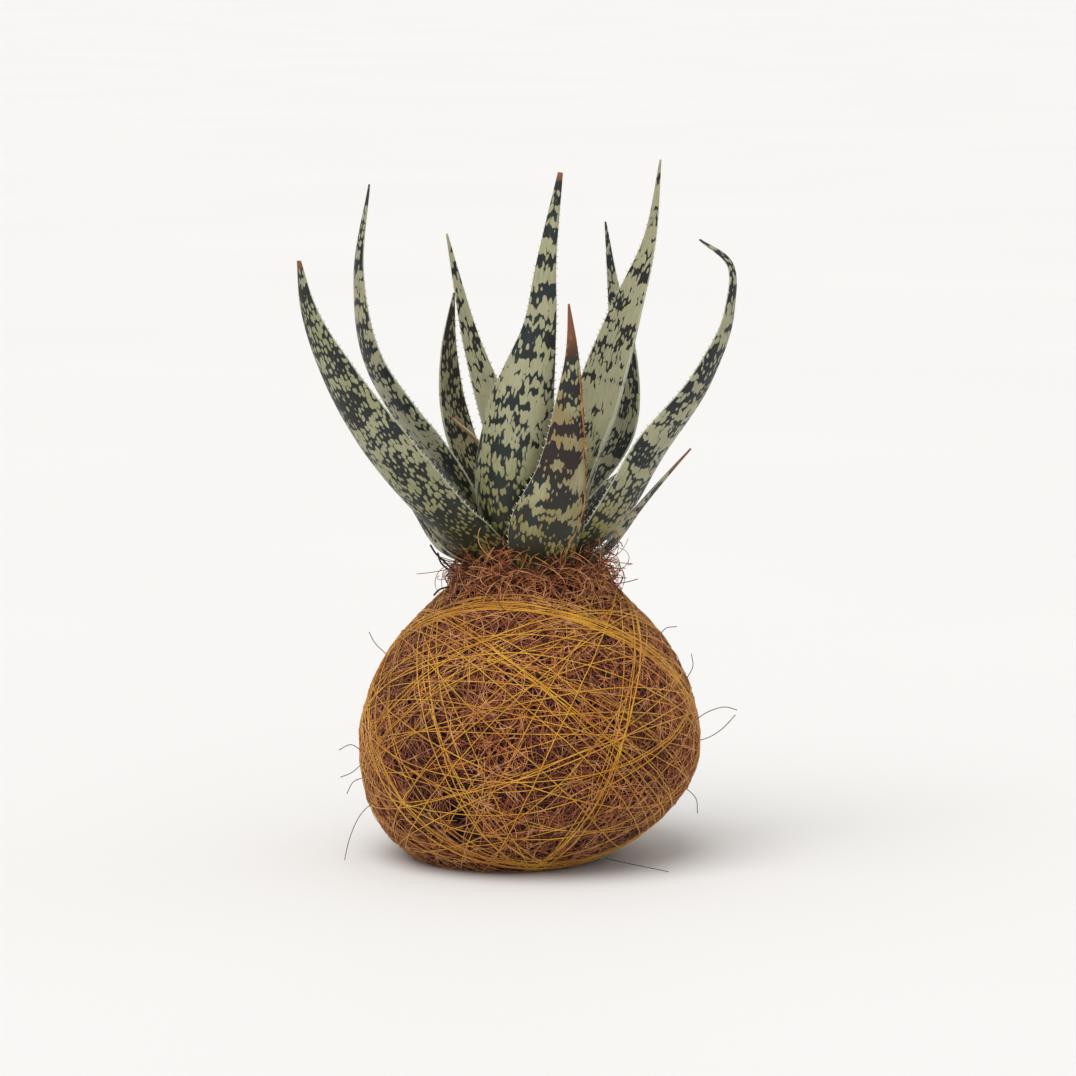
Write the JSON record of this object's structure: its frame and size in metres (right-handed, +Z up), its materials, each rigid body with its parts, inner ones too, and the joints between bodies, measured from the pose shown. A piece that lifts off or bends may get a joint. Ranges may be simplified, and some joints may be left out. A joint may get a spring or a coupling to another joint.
{
  "type": "kokedama plant ball",
  "caption": "Kokedama: a spotted aloe-like succulent rooted in a ball of soil that is wrapped in coir fibre and bound with yellow thread.",
  "frame": {"origin": "on the flat spot that the ball rests on, under the ball's axis, at the height of the surface", "axes": "+Z up along the plant, -Y the side shown in front, +X to the right as seen from the front"},
  "size_m": [0.1316, 0.1054, 0.2155],
  "materials": {
    "soil": "damp potting soil with roots",
    "coir": "curly coconut fibre mat, dry",
    "thread": "fine mustard-yellow thread, slight sheen",
    "green_leaf": "fleshy leaf, dark green with pale oblong spots, satin",
    "pale_leaf": "fleshy leaf, pale grey-green with broken dark bands, satin",
    "brown_leaf": "fleshy leaf, tan with dark brown bands and spots, satin",
    "dry_leaf": "dried leaf, brittle and matt"
  },
  "bodies": {
    "root": {"soil_core": "soil", "coir_wrap": "coir", "binding_thread": "thread", "plant_stem": "green_leaf", "leaf_withered": "dry_leaf", "leaf_far_left": "green_leaf", "leaf_left": "green_leaf", "leaf_brown_left": "brown_leaf", "leaf_inner_left": "pale_leaf", "leaf_centre": "pale_leaf", "leaf_front": "brown_leaf", "leaf_back_right": "pale_leaf", "leaf_tall": "pale_leaf", "leaf_hooked": "green_leaf", "leaf_low_right": "brown_leaf", "leaf_low_left": "green_leaf", "leaf_back_centre": "green_leaf", "leaf_back_low_left": "green_leaf", "leaf_back_low_right": "green_leaf", "leaf_young": "pale_leaf"}
  },
  "joints": []
}
